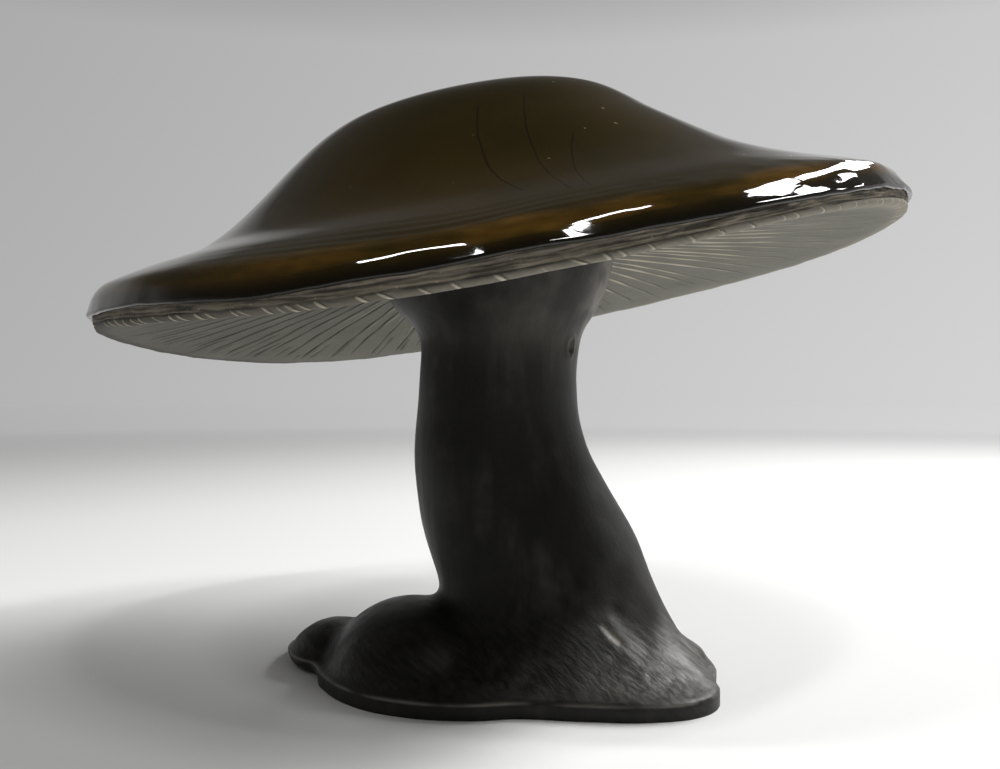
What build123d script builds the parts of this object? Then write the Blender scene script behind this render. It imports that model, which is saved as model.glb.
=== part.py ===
from build123d import *
import os
from math import cos, exp, hypot, pi, radians, sin, tan

# A hand-built ceramic mushroom ornament, in millimetres.
#
# +Z is up and Z = 0 is the surface that it stands on. The origin is on the foot's flat face, straight
# below the middle of the stem's collar. +X runs along the cap's long side, towards the end that is
# lifted, and -Y is the front. The cap is a glazed dome shell over a coned plate with gills, luted
# together at the rim, and it sits tilted on a leaning, hollow stem with a flared collar. Three lumps
# of clay swell from the stem's root, and everything stands on a thin foot slab. The hollows of cap and
# stem are joined by a vent, and a second vent in the slab lets the kiln's gases out, as a closed pot
# needs.

# The cap, measured over the glaze, square to its own tilted axis
CAP_HALF_WIDTH = 141.3
CAP_HALF_DEPTH = 131.0
DOME_RISE = 68.0
CAP_TILT_DEG = 9.07
CAP_PITCH_DEG = 1.0
RIM_HEIGHT = 128.2
CAP_SHIFT = 1.6

# How the rim rises at its two ends, dips at the front and back, and waves three times round
RIM_SADDLE = 5.8
RIM_SADDLE_TURN_DEG = 7.0
RIM_WAVE = 2.5
RIM_WAVE_TURN_DEG = -131.5

# The rim, from the gill plate's edge up to the line where the glaze ends
PLATE_EDGE = 3.2
BARE_BAND = 2.2
RIM_ROUND = 4.0
SEAM_TUCK = 1.2

# Walls of the cap, and the shallow cone that the gills are cut in
GLAZE = 1.0
GLAZE_BEAD = 0.5
SHELL_WALL = 7.0
PLATE_THICKNESS = 6.0
GILL_RISE = 20.0
CAP_VENT_RADIUS = 5.0

# The stem: its narrowest section, and how it leans, spreads and flares from there
STEM_HALF_WIDTH = 28.5
STEM_HALF_DEPTH = 27.5
STEM_WALL = 8.0
STEM_LEAN = 20.0
STEM_FRONT_REACH = 19.0
ROOT_SPREAD = 22.0
COLLAR_FLARE = 15.0
COLLAR_RISE = 31.0

# The toe that runs out from the stem's root towards the front right
TOE_REACH = 18.0
TOE_TURN_DEG = -33.5
TOE_SPREAD_DEG = 24.0

# The foot slab
SLAB_THICKNESS = 5.0
SLAB_HALF_WIDTH = 76.0
SLAB_HALF_DEPTH = 63.0
SLAB_EDGE_ROUND = 1.5
SLAB_VENT_RADIUS = 4.0
SLAB_FRONT_SHIFT = 10.0

# The three lumps at the root: half sizes, and where each one's middle stands on the slab
MOUND_HALF_SIZES = (27.0, 39.0, 23.0)
MOUND_PLACE = (-30.5, -23.0)
LEFT_LOBE_HALF_SIZES = (17.0, 21.0, 12.3)
LEFT_LOBE_PLACE = (-58.0, -6.0)
RIGHT_LOBE_HALF_SIZES = (20.5, 17.0, 13.0)
RIGHT_LOBE_PLACE = (51.0, -26.0)

# How far a cut runs past what it cuts
OVERRUN = 4.0

# How many points each ring of the surface is drawn through, and the share of a step by which the
# stem's rings start later, so that its seam and the cap's stay apart
RING_POINTS = 24
SEAM_SHARE = 0.5

# The glazed top from the middle outwards: radius as a share of the cap's half width and depth, then
# height above the glaze line as a share of the dome's rise, on the left and on the right
TOP_SHARES = [
    (0.12, 0.990, 0.990),
    (0.24, 0.970, 0.983),
    (0.36, 0.896, 0.890),
    (0.46, 0.760, 0.724),
    (0.56, 0.576, 0.568),
    (0.66, 0.398, 0.425),
    (0.76, 0.268, 0.312),
    (0.86, 0.205, 0.216),
    (0.935, 0.150, 0.148),
    (0.972, 0.112, 0.102),
    (0.992, 0.062, 0.045),
]

# The gilled underside from the rim inwards: radius as a share of the cap's half width and depth, and
# height as a share of the gills' rise
GILL_SHARES = [(0.925, 0.03), (0.85, 0.13), (0.7, 0.33), (0.5, 0.58), (0.3, 0.78), (0.12, 0.95)]

# The stem below its collar, from the slab upwards: height, then shares of the lean and of the front
# reach, then of the root's spread in width and in depth, and of the toe
ROOT_SHARES = [
    (0.0, 0.90, 1.00, 0.545, 1.02, 1.0),
    (0.045, 0.92, 0.895, 0.455, 0.75, 0.67),
    (0.117, 0.94, 0.63, 0.420, 0.477, 0.38),
    (0.224, 0.79, 0.37, 0.415, 0.34, 0.12),
    (0.359, 0.54, 0.21, 0.423, 0.27, 0.0),
    (0.494, 0.26, 0.105, 0.30, 0.20, 0.0),
    (0.628, 0.03, 0.05, 0.14, 0.11, 0.0),
    (0.763, -0.045, 0.0, 0.03, 0.045, 0.0),
    (0.898, -0.025, 0.0, 0.0, 0.0, 0.0),
]

# The collar, upwards: height, then shares of the lean, of the flare and of the cap's tilt
COLLAR_SHARES = [
    (0.0, 0.07, 0.11, 0.5),
    (0.245, 0.16, 0.355, 0.8),
    (0.47, 0.08, 0.63, 1.0),
    (0.665, 0.0, 0.83, 1.0),
    (1.0, 0.0, 1.02, 1.0),
]

# The slab's outline, as shares of its half width and half depth about its own middle
SLAB_SHARES = [
    (-1.00, 0.06), (-0.92, -0.13), (-0.83, -0.28), (-0.76, -0.48), (-0.61, -0.75), (-0.415, -0.91),
    (-0.14, -0.98), (0.08, -0.95), (0.335, -0.99), (0.60, -1.00), (0.79, -0.92), (0.885, -0.76),
    (0.90, -0.56), (0.945, -0.35), (0.93, -0.03), (0.88, 0.40), (0.64, 0.79), (0.265, 0.98),
    (-0.16, 0.98), (-0.56, 0.83), (-0.85, 0.54), (-0.98, 0.29),
]  # fmt: skip

GLAZE_LINE = PLATE_EDGE + BARE_BAND
PEAK = GLAZE_LINE + DOME_RISE
TILTED = Location((0, 0, 0), (0, -CAP_TILT_DEG, 0))
PITCHED = Location((0, 0, 0), (-CAP_PITCH_DEG, 0, 0))
CAP_PLACE = Location((CAP_SHIFT, 0, RIM_HEIGHT)) * TILTED * PITCHED


class Ring:
    """One closed line round the cap's axis. Its radius is a share of the cap's half width and depth,
    less an inset, and it has one height at the left end and one at the right."""

    def __init__(self, share, inset, left, right=None):
        self.share = share
        self.inset = inset
        self.left = left
        self.right = left if right is None else right

    def radius(self):
        return CAP_HALF_WIDTH * self.share - self.inset

    def height(self):
        return (self.left + self.right) / 2

    def moved(self, outwards, up):
        return Ring(self.share, self.inset - outwards, self.left + up, self.right + up)

    def wire(self):
        points = []
        for step in range(RING_POINTS):
            turn = 2 * pi * step / RING_POINTS
            saddle = RIM_SADDLE * cos(2 * turn - radians(RIM_SADDLE_TURN_DEG))
            wave = RIM_WAVE * cos(3 * turn - radians(RIM_WAVE_TURN_DEG))
            warp = (saddle + wave) * self.share**2
            height = self.left + (self.right - self.left) * (1 + cos(turn)) / 2
            across = self.radius() * cos(turn)
            back = (CAP_HALF_DEPTH * self.share - self.inset) * sin(turn)
            points.append((across, back, height + warp))
        return Wire([Spline(*points, periodic=True)])


def refined(rows):
    """The rows of a table, with one more row between each two that keeps their run smooth."""
    longer = [rows[0]]
    for index in range(len(rows) - 1):
        before = rows[max(index - 1, 0)]
        here = rows[index]
        after = rows[index + 1]
        beyond = rows[min(index + 2, len(rows) - 1)]
        pairs = zip(before, here, after, beyond)
        longer += [tuple((9 * (near + far) - first - last) / 16 for first, near, far, last in pairs), after]
    return longer


def ring_solid(top_height, rings, bottom_height):
    """A closed body through rings, from a point on the axis above to a point on it below."""
    wires = [ring.wire() for ring in rings]
    body = Solid.make_loft([Vertex(0, 0, top_height), *wires, Vertex(0, 0, bottom_height)], ruled=True)
    return CAP_PLACE * body


def top_rings(depth=0, widest_share=1):
    """Rings that follow the glazed top outwards, a depth below it and square to it."""
    surface = [
        Ring(share, 0, GLAZE_LINE + DOME_RISE * left, GLAZE_LINE + DOME_RISE * right)
        for share, left, right in refined(TOP_SHARES)
    ]
    rings = []
    before = Ring(0, 0, PEAK)
    for ring, after in zip(surface, surface[1:] + surface[-1:]):
        along = after.radius() - before.radius()
        fall = before.height() - after.height()
        slope_length = hypot(along, fall)
        rings.append(ring.moved(-depth * fall / slope_length, -depth * along / slope_length))
        before = ring
    return [ring for ring in rings if ring.share < widest_share]


def plate_rings(lift, widest_share=1):
    """Rings that follow the gilled underside inwards, lifted by a height."""
    rows = refined(GILL_SHARES)
    return [Ring(share, 0, GILL_RISE * rise + lift) for share, rise in rows if share < widest_share]


def make_gill_plate():
    upper = plate_rings(PLATE_THICKNESS, widest_share=0.88)[::-1]
    edge = [
        Ring(1, RIM_ROUND * 2, PLATE_EDGE * 1.1),
        Ring(1, RIM_ROUND * 0.7, PLATE_EDGE * 0.98),
        Ring(1, RIM_ROUND * 0.3, PLATE_EDGE * 0.66),
        Ring(1, RIM_ROUND * 0.35, PLATE_EDGE * 0.3),
        Ring(1, RIM_ROUND * 0.75, 0),
    ]
    plate = ring_solid(GILL_RISE + PLATE_THICKNESS, upper + edge + plate_rings(0), GILL_RISE)
    vent = Cylinder(CAP_VENT_RADIUS, PLATE_THICKNESS + OVERRUN * 2)
    return plate - CAP_PLACE * Location((0, 0, GILL_RISE + PLATE_THICKNESS / 2)) * vent


def make_dome():
    """The shell as a full body, before the hollow and the plate are cut out of it."""
    side = [
        Ring(1, GLAZE, GLAZE_LINE),
        Ring(1, GLAZE * 1.2, PLATE_EDGE + BARE_BAND * 0.4),
        Ring(1, GLAZE + SEAM_TUCK, PLATE_EDGE),
        Ring(1, GLAZE + SEAM_TUCK + RIM_ROUND, PLATE_EDGE * 0.6),
    ]
    lift = PLATE_THICKNESS * 0.7
    floor = plate_rings(lift, widest_share=0.88)
    return ring_solid(PEAK - GLAZE, top_rings(GLAZE) + side + floor, GILL_RISE + lift)


def make_hollow():
    """The space inside the cap, run down into the plate so that the plate alone closes it."""
    depth = GLAZE + SHELL_WALL
    corner_share, corner_rise = GILL_SHARES[1]
    corner = Ring(corner_share, 0, GILL_RISE * corner_rise + PLATE_THICKNESS * 0.8)
    lift = PLATE_THICKNESS * 0.3
    rings = [*top_rings(depth, widest_share=0.8), corner, *plate_rings(lift, widest_share=0.8)]
    return ring_solid(PEAK - depth, rings, GILL_RISE + lift)


def make_glaze_body():
    """The glaze's outer surface with the bead at its lower edge, closed inside the dome."""
    closing = [
        Ring(1, -GLAZE_BEAD * 0.4, GLAZE_LINE + GLAZE * 1.6),
        Ring(1, -GLAZE_BEAD, GLAZE_LINE + GLAZE * 0.6),
        Ring(1, GLAZE * 0.4, GLAZE_LINE),
        Ring(1, GLAZE * 3, GLAZE_LINE + GLAZE * 0.5),
        Ring(0.8, 0, GLAZE_LINE + DOME_RISE * 0.05),
        Ring(0.4, 0, GLAZE_LINE + DOME_RISE * 0.3),
    ]
    return ring_solid(PEAK, top_rings() + closing, GLAZE_LINE + DOME_RISE / 2)


def section(middle, half_width, half_depth, tilt_share=0, toe_share=0):
    """One section of the stem, level at the root and square to the cap's axis in the collar."""
    points = []
    for step in range(RING_POINTS):
        turn = 2 * pi * (step + SEAM_SHARE) / RING_POINTS
        off_toe = (turn - radians(TOE_TURN_DEG) + pi) % (2 * pi) - pi
        toe = TOE_REACH * toe_share * exp(-((off_toe / radians(TOE_SPREAD_DEG)) ** 2))
        across = (half_width + toe) * cos(turn)
        back = (half_depth + toe) * sin(turn)
        up = across * tan(radians(CAP_TILT_DEG * tilt_share))
        points.append((middle[0] + across, middle[1] + back, middle[2] + up))
    return Wire([Spline(*points, periodic=True)])


def stem_body(wall, overrun, toe_share):
    """The stem's outside, or its bore when a wall is taken off and the ends run on."""
    stem_top = RIM_HEIGHT + GILL_RISE * GILL_SHARES[-2][1] + PLATE_THICKNESS / 2
    collar_foot = stem_top - COLLAR_RISE
    wires = []
    for rise, lean, reach, width, depth, toe in refined(ROOT_SHARES):
        low = overrun if rise == 0 else 0
        up = SLAB_THICKNESS + (collar_foot - SLAB_THICKNESS) * rise - low
        half_width = STEM_HALF_WIDTH + ROOT_SPREAD * width - wall
        half_depth = STEM_HALF_DEPTH + ROOT_SPREAD * depth - wall
        middle = (STEM_LEAN * lean, -STEM_FRONT_REACH * reach, up)
        wires.append(section(middle, half_width, half_depth, toe_share=toe * toe_share))
    for rise, lean, flare, tilt in refined(COLLAR_SHARES):
        high = overrun if rise == 1 else 0
        half_width = STEM_HALF_WIDTH + COLLAR_FLARE * flare - wall
        half_depth = STEM_HALF_DEPTH + COLLAR_FLARE * flare - wall
        middle = (STEM_LEAN * lean, 0, collar_foot + COLLAR_RISE * rise + high)
        wires.append(section(middle, half_width, half_depth, tilt_share=tilt))
    return Solid.make_loft(wires, ruled=True)


def make_base_slab():
    points = []
    for across, back in SLAB_SHARES:
        points.append((SLAB_HALF_WIDTH * across, SLAB_HALF_DEPTH * back - SLAB_FRONT_SHIFT))
    outline = make_face(Spline(*points, periodic=True))
    slab = extrude(outline, SLAB_THICKNESS)
    rim = slab.edges().group_by(Axis.Z)[-1]
    slab = fillet(rim, SLAB_EDGE_ROUND)
    vent = Cylinder(SLAB_VENT_RADIUS, SLAB_THICKNESS * 3)
    return slab - Location((STEM_LEAN, -STEM_FRONT_REACH, 0)) * vent


def lump(half_sizes, place):
    """A pressed-on lump of clay: an egg shape whose lower half is cut off at the slab's top."""
    half_width, half_depth, half_height = half_sizes
    egg = scale(Sphere(half_width), by=(1, half_depth / half_width, half_height / half_width))
    egg = Location((*place, SLAB_THICKNESS / 2)) * egg
    from_above = (Align.CENTER, Align.CENTER, Align.MAX)
    below = Box(half_width * 4, half_depth * 4, half_height * 2, align=from_above)
    return egg - Location((*place, SLAB_THICKNESS)) * below


def main():
    plate = make_gill_plate()
    dome = make_dome()
    stem_outside = stem_body(wall=0, overrun=0, toe_share=1)
    bore = stem_body(wall=STEM_WALL, overrun=OVERRUN, toe_share=0)
    mound = lump(MOUND_HALF_SIZES, MOUND_PLACE) - stem_outside
    parts = {
        "glaze_coat": make_glaze_body() - dome,
        "cap_shell": dome - make_hollow() - plate,
        "gill_plate": plate,
        "stem": stem_outside - bore - plate,
        "base_slab": make_base_slab(),
        "left_root_mound": mound,
        "left_root_lobe": lump(LEFT_LOBE_HALF_SIZES, LEFT_LOBE_PLACE) - mound - stem_outside,
        "right_root_lobe": lump(RIGHT_LOBE_HALF_SIZES, RIGHT_LOBE_PLACE) - stem_outside,
    }
    os.makedirs("parts", exist_ok=True)
    for name, part in parts.items():
        export_step(part, f"parts/{name}.step")


main()
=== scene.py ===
from math import cos, exp, pi, radians, sin, tan

import bpy
import numpy as np
from mathutils import Matrix, Vector, noise


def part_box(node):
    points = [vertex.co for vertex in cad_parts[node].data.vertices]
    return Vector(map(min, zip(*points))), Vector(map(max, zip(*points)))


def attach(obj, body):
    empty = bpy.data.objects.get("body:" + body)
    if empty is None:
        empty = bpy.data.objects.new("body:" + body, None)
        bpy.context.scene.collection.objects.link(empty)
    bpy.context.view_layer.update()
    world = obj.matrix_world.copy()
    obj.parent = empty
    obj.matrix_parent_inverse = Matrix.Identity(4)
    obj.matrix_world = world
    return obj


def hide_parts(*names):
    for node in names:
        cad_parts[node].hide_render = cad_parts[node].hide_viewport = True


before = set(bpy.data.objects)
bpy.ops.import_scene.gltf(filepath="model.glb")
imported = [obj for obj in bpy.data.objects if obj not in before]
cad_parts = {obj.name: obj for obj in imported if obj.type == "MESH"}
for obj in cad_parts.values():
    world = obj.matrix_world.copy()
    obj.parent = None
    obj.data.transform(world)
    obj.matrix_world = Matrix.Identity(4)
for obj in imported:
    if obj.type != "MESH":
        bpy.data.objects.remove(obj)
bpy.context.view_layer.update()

bl_info = {
    "name": "Ceramic Mushroom",
    "version": (1, 0, 0),
    "blender": (4, 5, 0),
    "location": "3D View > Sidebar > Mushroom",
    "description": "Models a glazed, hand-built ceramic mushroom round its packed solids",
    "category": "Object",
}

SLAB_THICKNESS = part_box("base_slab")[1][2]

# Steps of each turned piece round the cap's axis
GLAZE_STEPS = 512
RIM_STEPS = 1200
PLATE_STEPS = 1440

# Rings of the gilled underside, from the plate's edge to where the stem hides it
UNDER_RINGS = 42

# Starts of the two draws: the gill lines, and the nicks along the plate's edge
GILL_SEED = 72
NICK_SEED = 19

# The glazed top from the middle outwards: share of the cap's half width, then height above the glaze
# line as a share of the dome's rise, on the left and on the right
TOP_SHARES = [
    (0.0, 1.0, 1.0),
    (0.06, 0.998, 0.998),
    (0.12, 0.990, 0.990),
    (0.24, 0.970, 0.983),
    (0.36, 0.896, 0.890),
    (0.46, 0.760, 0.724),
    (0.56, 0.576, 0.568),
    (0.66, 0.398, 0.425),
    (0.76, 0.268, 0.312),
    (0.86, 0.205, 0.216),
    (0.935, 0.150, 0.148),
    (0.972, 0.112, 0.102),
    (0.992, 0.062, 0.045),
]

# The glaze's bead from the outside round to the inside: how far out, as shares of the bead and of the
# glaze, and how far above the glaze line, as a share of the glaze
BEAD_SHARES = [
    (0.4, 0.0, 1.6),
    (0.9, 0.0, 1.1),
    (1.0, 0.0, 0.6),
    (0.4, 0.0, 0.2),
    (0.0, -0.4, 0.0),
    (0.0, -1.2, 0.1),
    (0.0, -3.0, 0.5),
]

# The core that closes the glazed dome from below: share of the half width, share of the dome's rise
CORE_SHARES = [(0.8, 0.05), (0.4, 0.3), (0.0, 0.45)]

# How far the glaze's lower edge hangs below its line: direction in degrees, drop in metres
GLAZE_EDGE = [
    (-180, 0.0010),
    (-163, 0.0009),
    (-150, 0.0014),
    (-135, 0.0004),
    (-124, 0.0010),
    (-117, 0.0014),
    (-111, 0.0008),
    (-105, 0.0000),
    (-100, 0.0002),
    (-95, -0.0002),
    (-90, -0.0006),
    (-86, -0.0006),
    (-81, 0.0002),
    (-76, 0.0003),
    (-71, 0.0007),
    (-65, 0.0010),
    (-57, 0.0013),
    (-50, 0.0015),
    (-38, 0.0013),
    (-25, 0.0018),
    (0, 0.0012),
    (45, 0.0005),
    (90, 0.0008),
    (135, 0.0004),
    (180, 0.0010),
]

# The torn edge of the bare clay, downwards: how far in, as a share of the glaze, then its height as shares
# of the plate's edge, the bare band and the glaze
RIM_SHARES = [
    (0.6, 1.0, 1.0, 1.4),
    (0.1, 1.0, 1.0, 0.7),
    (0.0, 1.0, 1.0, 0.0),
    (0.05, 1.0, 0.6, 0.0),
    (0.0, 1.0, 0.15, 0.0),
    (0.1, 0.85, 0.0, 0.0),
    (0.35, 0.72, 0.0, 0.0),
    (0.9, 0.66, 0.0, 0.0),
]

# The gill plate's edge, downwards and inwards: shares of the rim's rounding and of the edge's thickness
PLATE_EDGE_SHARES = [
    (1.5, 1.05),
    (0.85, 1.0),
    (0.55, 0.93),
    (0.43, 0.78),
    (0.38, 0.6),
    (0.36, 0.38),
    (0.40, 0.2),
    (0.53, 0.07),
    (0.75, 0.0),
    (1.2, 0.03125),
    (1.7, 0.0625),
]

# Hairlines in the glaze, seen from above: middle and radius of each arc, front and back limit
CRAZE_LINES = [
    (0.0678, -0.0631, 0.0747, -0.105, -0.058),
    (0.1320, -0.0583, 0.1248, -0.110, -0.055),
    (0.1016, -0.0880, 0.0816, -0.110, -0.074),
]

# Bubbles and pinholes in the glaze: place and radius
GLAZE_PITS = [
    (0.0317, -0.0561, 0.1836, 0.0007),
    (0.0346, -0.0654, 0.1766, 0.0006),
    (0.0136, -0.0866, 0.1613, 0.0004),
    (0.0249, -0.0710, 0.1737, 0.0004),
]

# The gilled underside from the rim inwards: share of the half width, share of the gills' rise
GILL_SHARES = [(0.925, 0.03), (0.85, 0.13), (0.7, 0.33), (0.5, 0.58), (0.3, 0.78), (0.12, 0.95), (0.0, 1.0)]

# The stem below its collar, upwards: height, lean, front reach, spread in width and in depth, toe
ROOT_SHARES = [
    (0.0, 0.90, 1.00, 0.545, 1.02, 1.0),
    (0.045, 0.92, 0.895, 0.455, 0.75, 0.67),
    (0.117, 0.94, 0.63, 0.420, 0.477, 0.38),
    (0.224, 0.79, 0.37, 0.415, 0.34, 0.12),
    (0.359, 0.54, 0.21, 0.423, 0.27, 0.0),
    (0.494, 0.26, 0.105, 0.30, 0.20, 0.0),
    (0.628, 0.03, 0.05, 0.14, 0.11, 0.0),
    (0.763, -0.045, 0.0, 0.03, 0.045, 0.0),
    (0.898, -0.025, 0.0, 0.0, 0.0, 0.0),
]

# The collar, upwards: height, lean, flare and tilt
COLLAR_SHARES = [
    (0.0, 0.03, 0.03, 0.35),
    (0.245, 0.14, 0.34, 0.78),
    (0.47, 0.08, 0.63, 1.0),
    (0.665, 0.0, 0.83, 1.0),
    (1.0, 0.0, 1.02, 1.0),
]

# The slab's outline, as shares of its half width and half depth about its own middle
SLAB_SHARES = [
    (-1.00, 0.06), (-0.92, -0.13), (-0.83, -0.28), (-0.76, -0.48), (-0.61, -0.75), (-0.415, -0.91),
    (-0.14, -0.98), (0.08, -0.95), (0.335, -0.99), (0.60, -1.00), (0.79, -0.92), (0.885, -0.76),
    (0.90, -0.56), (0.945, -0.35), (0.93, -0.03), (0.88, 0.40), (0.64, 0.79), (0.265, 0.98),
    (-0.16, 0.98), (-0.56, 0.83), (-0.85, 0.54), (-0.98, 0.29),
]

# Rings that the slab's skirt is raised by, upwards: size as a share of the ring below, rise
SKIRT_STEPS = [(0.93, 0.0012), (0.85, 0.0016), (0.75, 0.0018), (0.6, 0.0014)]
SKIRT_MIDDLE = (0.002, -0.012, 0)

# Place, seen from above, that the lobes' ends are rounded towards
SLAB_MIDDLE = (0.0, -0.012)

# Lumps of clay pressed onto the slab, the mound first: middle, half sizes
LUMPS = [
    ((-0.0305, -0.023, 0.0025), (0.0270, 0.0390, 0.0230)),
    ((-0.058, -0.006, 0.0025), (0.0170, 0.0210, 0.0123)),
    ((0.051, -0.026, 0.0025), (0.0205, 0.0170, 0.0130)),
]

# The kiln's vent in the foot
VENT_PLACE = (0.020, -0.019, 0.004)
VENT_RADIUS = 0.004
VENT_DEPTH = 0.012

# Marks on the front of the toe: (X, Z) places along each, and its half width at each place
TOE_DENT = ([(0.0330, 0.0216), (0.0356, 0.0190), (0.0378, 0.0172)], [0.0006, 0.0012, 0.0008])
TOE_CREASE = ([(0.0375, 0.0250), (0.0415, 0.0205), (0.0465, 0.0160)], [0.0020, 0.0036, 0.0026])
TOE_RIDGE = ([(0.0320, 0.0204), (0.0352, 0.0170), (0.0440, 0.0100)], [0.0009, 0.0013, 0.0018])
TOE_HOLLOW = ([(0.0410, 0.0330), (0.0490, 0.0235)], [0.0070, 0.0060])

# The chip below the collar: its place, and how much taller than wide it is
CHIP_PLACE = (0.0246, -0.0140, 0.1118)
CHIP_STRETCH = (1.0, 1.0, 1.3)

# Colours of small places, which are blended over the colours that the panel sets
POOLED_GLAZE = (0.0022, 0.0017, 0.0007)
GLAZE_PINHOLE = (0.30, 0.25, 0.14)
GLAZE_HAIRLINE = (0.0020, 0.0016, 0.0006)
PALE_CRUMB = (0.36, 0.32, 0.26)
WORN_AND_LIT_EDGE = (0.26, 0.235, 0.19)
LEFT_EDGE_SHADE = (0.06, 0.053, 0.042)
PAINTED_GROOVE_SHADE = (0.012, 0.011, 0.009)
PAINTED_BURR_HIGHLIGHT = (0.52, 0.47, 0.37)
COLLAR_CHIP = (0.036, 0.024, 0.016)
PALE_SCRATCH_AND_HIGHLIGHT = (0.19, 0.165, 0.135)

# Lamps: name, place, direction of the long side, long and short side, watts
LAMPS = [
    ("left_strip", (-0.50, -0.45, 1.20), (1, 0, 0), (0.36, 0.05), 3.2),
    ("front_strip", (0.184, -0.354, 1.187), (0.07, 0.08, -0.07), (0.236, 0.045), 1.6),
    ("front_strip_near", (0.095, -0.474, 1.153), (0.99, 0.33, 0.16), (0.10, 0.062), 0.9),
    ("key_strip_long", (0.945, 0.645, 1.114), (-0.09, 1.31, -0.21), (1.30, 0.158), 20.5),
    ("key_strip_right", (1.572, 0.569, 1.298), (0.22, 0.75, 0.04), (0.312, 0.132), 4.1),
    ("key_strip_near", (0.964, -0.099, 1.302), (1.44, -0.60, -1.11), (0.226, 0.25), 5.7),
    ("key_strip_far", (1.200, 0.920, 1.161), (0.43, 0.54, 0.37), (0.442, 0.11), 4.9),
]
LAMP_TARGET = (0, 0, 0.1)
CAMERA_PLACE = (0, -0.364, 0.0985)

# Side of the floor, and the distance from its middle to its edge, over which it fades into the backdrop
FLOOR_SIZE = 8
FLOOR_FADE = 4.0


def length(name, default, description):
    return bpy.props.FloatProperty(
        name=name, description=description, default=default, unit="LENGTH", subtype="DISTANCE", precision=4
    )


def angle(name, default, description):
    return bpy.props.FloatProperty(
        name=name, description=description, default=radians(default), unit="ROTATION", subtype="ANGLE"
    )


def colour(name, default, description):
    return bpy.props.FloatVectorProperty(
        name=name, description=description, default=default, size=3, min=0, max=1, subtype="COLOR"
    )


class MushroomCap(bpy.types.PropertyGroup):
    half_width: length("Half width", 0.1413, "Cap's half size along X, over the glaze")
    half_depth: length("Half depth", 0.131, "Cap's half size along Y, over the glaze")
    dome_rise: length("Dome rise", 0.068, "Height of the dome above the line where the glaze ends")
    tilt: angle("Tilt", 9.07, "How far the right end is lifted")
    pitch: angle("Pitch", 1.0, "How far the front edge is lifted")
    rim_height: length("Rim height", 0.1282, "Height of the rim's lower edge on the cap's axis")
    shift: length("Shift", 0.0016, "How far the cap's axis stands to the right of the collar's middle")
    saddle: length("Rim saddle", 0.0058, "How far the rim rises at its ends and dips at front and back")
    saddle_turn: angle("Saddle turn", 7.0, "How far the saddle is turned from the cap's long side")
    wave: length("Rim wave", 0.0025, "Height of the three waves round the rim")
    wave_turn: angle("Wave turn", -131.5, "Where the three waves start")
    glaze: length("Glaze", 0.001, "Thickness of the glaze")
    bead: length("Glaze bead", 0.0005, "How far the glaze swells at its lower edge")
    band: length("Bare band", 0.0022, "Height of the shell's bare clay below the glaze")
    plate_edge: length("Plate edge", 0.0032, "Thickness of the gill plate's rim")
    plate: length("Plate", 0.006, "Thickness of the gill plate")
    rim_round: length("Rim rounding", 0.004, "Rounding of the gill plate's rim")
    gill_rise: length("Gill rise", 0.020, "Height of the gilled cone")


class MushroomGills(bpy.types.PropertyGroup):
    count: bpy.props.IntProperty(name="Count", description="Gill lines that reach the stem", default=72, min=3)
    width: length("Width", 0.0011, "Width of one incised line")
    depth: length("Depth", 0.0008, "Depth of one incised line")
    burr: length("Burr", 0.0004, "Height of the burr that the tool threw up beside a line")


class MushroomStem(bpy.types.PropertyGroup):
    half_width: length("Half width", 0.0285, "Narrowest half size along X")
    half_depth: length("Half depth", 0.0275, "Narrowest half size along Y")
    lean: length("Lean", 0.020, "How far the root stands to the right of the collar")
    reach: length("Front reach", 0.019, "How far the root stands in front of the collar")
    flare: length("Collar flare", 0.015, "How far the collar spreads under the cap")
    collar: length("Collar rise", 0.031, "Height of the collar")
    spread: length("Root spread", 0.022, "How far the root spreads")
    toe: length("Toe reach", 0.018, "How far the toe runs out")
    toe_turn: angle("Toe turn", -33.5, "Direction of the toe")
    toe_spread: angle("Toe spread", 24.0, "Width of the toe")
    voxel: length("Skin voxel", 0.00115, "Grid that joins the stem and its root lumps into one skin")


class MushroomFoot(bpy.types.PropertyGroup):
    half_width: length("Half width", 0.076, "Slab's half size along X")
    half_depth: length("Half depth", 0.063, "Slab's half size along Y")
    front_shift: length("Front shift", 0.010, "How far the slab's middle stands in front of the origin")
    thickness: length("Thickness", SLAB_THICKNESS, "Slab's thickness")
    edge: length("Edge rounding", 0.0015, "Rounding of the slab's upper edge")


class MushroomColours(bpy.types.PropertyGroup):
    glaze_deep: colour("Glaze, deep", (0.0180, 0.0124, 0.0007), "Glaze where it lies thick")
    glaze_amber: colour("Glaze, amber", (0.098, 0.050, 0.0075), "Glaze where it runs thin")
    bare_clay: colour("Bare clay", (0.175, 0.150, 0.112), "Unglazed clay of the cap")
    gill_clay: colour("Gill clay", (0.160, 0.154, 0.122), "Clay of the gilled underside")
    dark_clay: colour("Dark clay", (0.0080, 0.0075, 0.0058), "Near-black clay of stem and foot")
    # also the colour of the painted highlight in the toe's brush strokes
    rubbed_and_lit_clay: colour("Rubbed clay", (0.165, 0.156, 0.139), "Dark clay where it is rubbed lighter")
    floor: colour("Floor", (0.80, 0.80, 0.79), "Floor and backdrop")


# Meshes


def deselect_all():
    bpy.ops.object.select_all(action="DESELECT")


def make_active(thing):
    deselect_all()
    thing.select_set(True)
    bpy.context.view_layer.objects.active = thing


def apply_modifiers(thing):
    make_active(thing)
    for modifier in list(thing.modifiers):
        bpy.ops.object.modifier_apply(modifier=modifier.name)


def edit_all():
    """Opens the active mesh in edit mode with all of it selected."""
    bpy.ops.object.mode_set(mode="EDIT")
    bpy.ops.mesh.select_all(action="SELECT")


def add_mesh(name, points, edges=(), faces=()):
    """A new mesh object in the scene, from its points, edges and faces."""
    mesh = bpy.data.meshes.new(name)
    mesh.from_pydata([tuple(point) for point in points], list(edges), list(faces))
    thing = bpy.data.objects.new(name, mesh)
    bpy.context.collection.objects.link(thing)
    return thing


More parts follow.
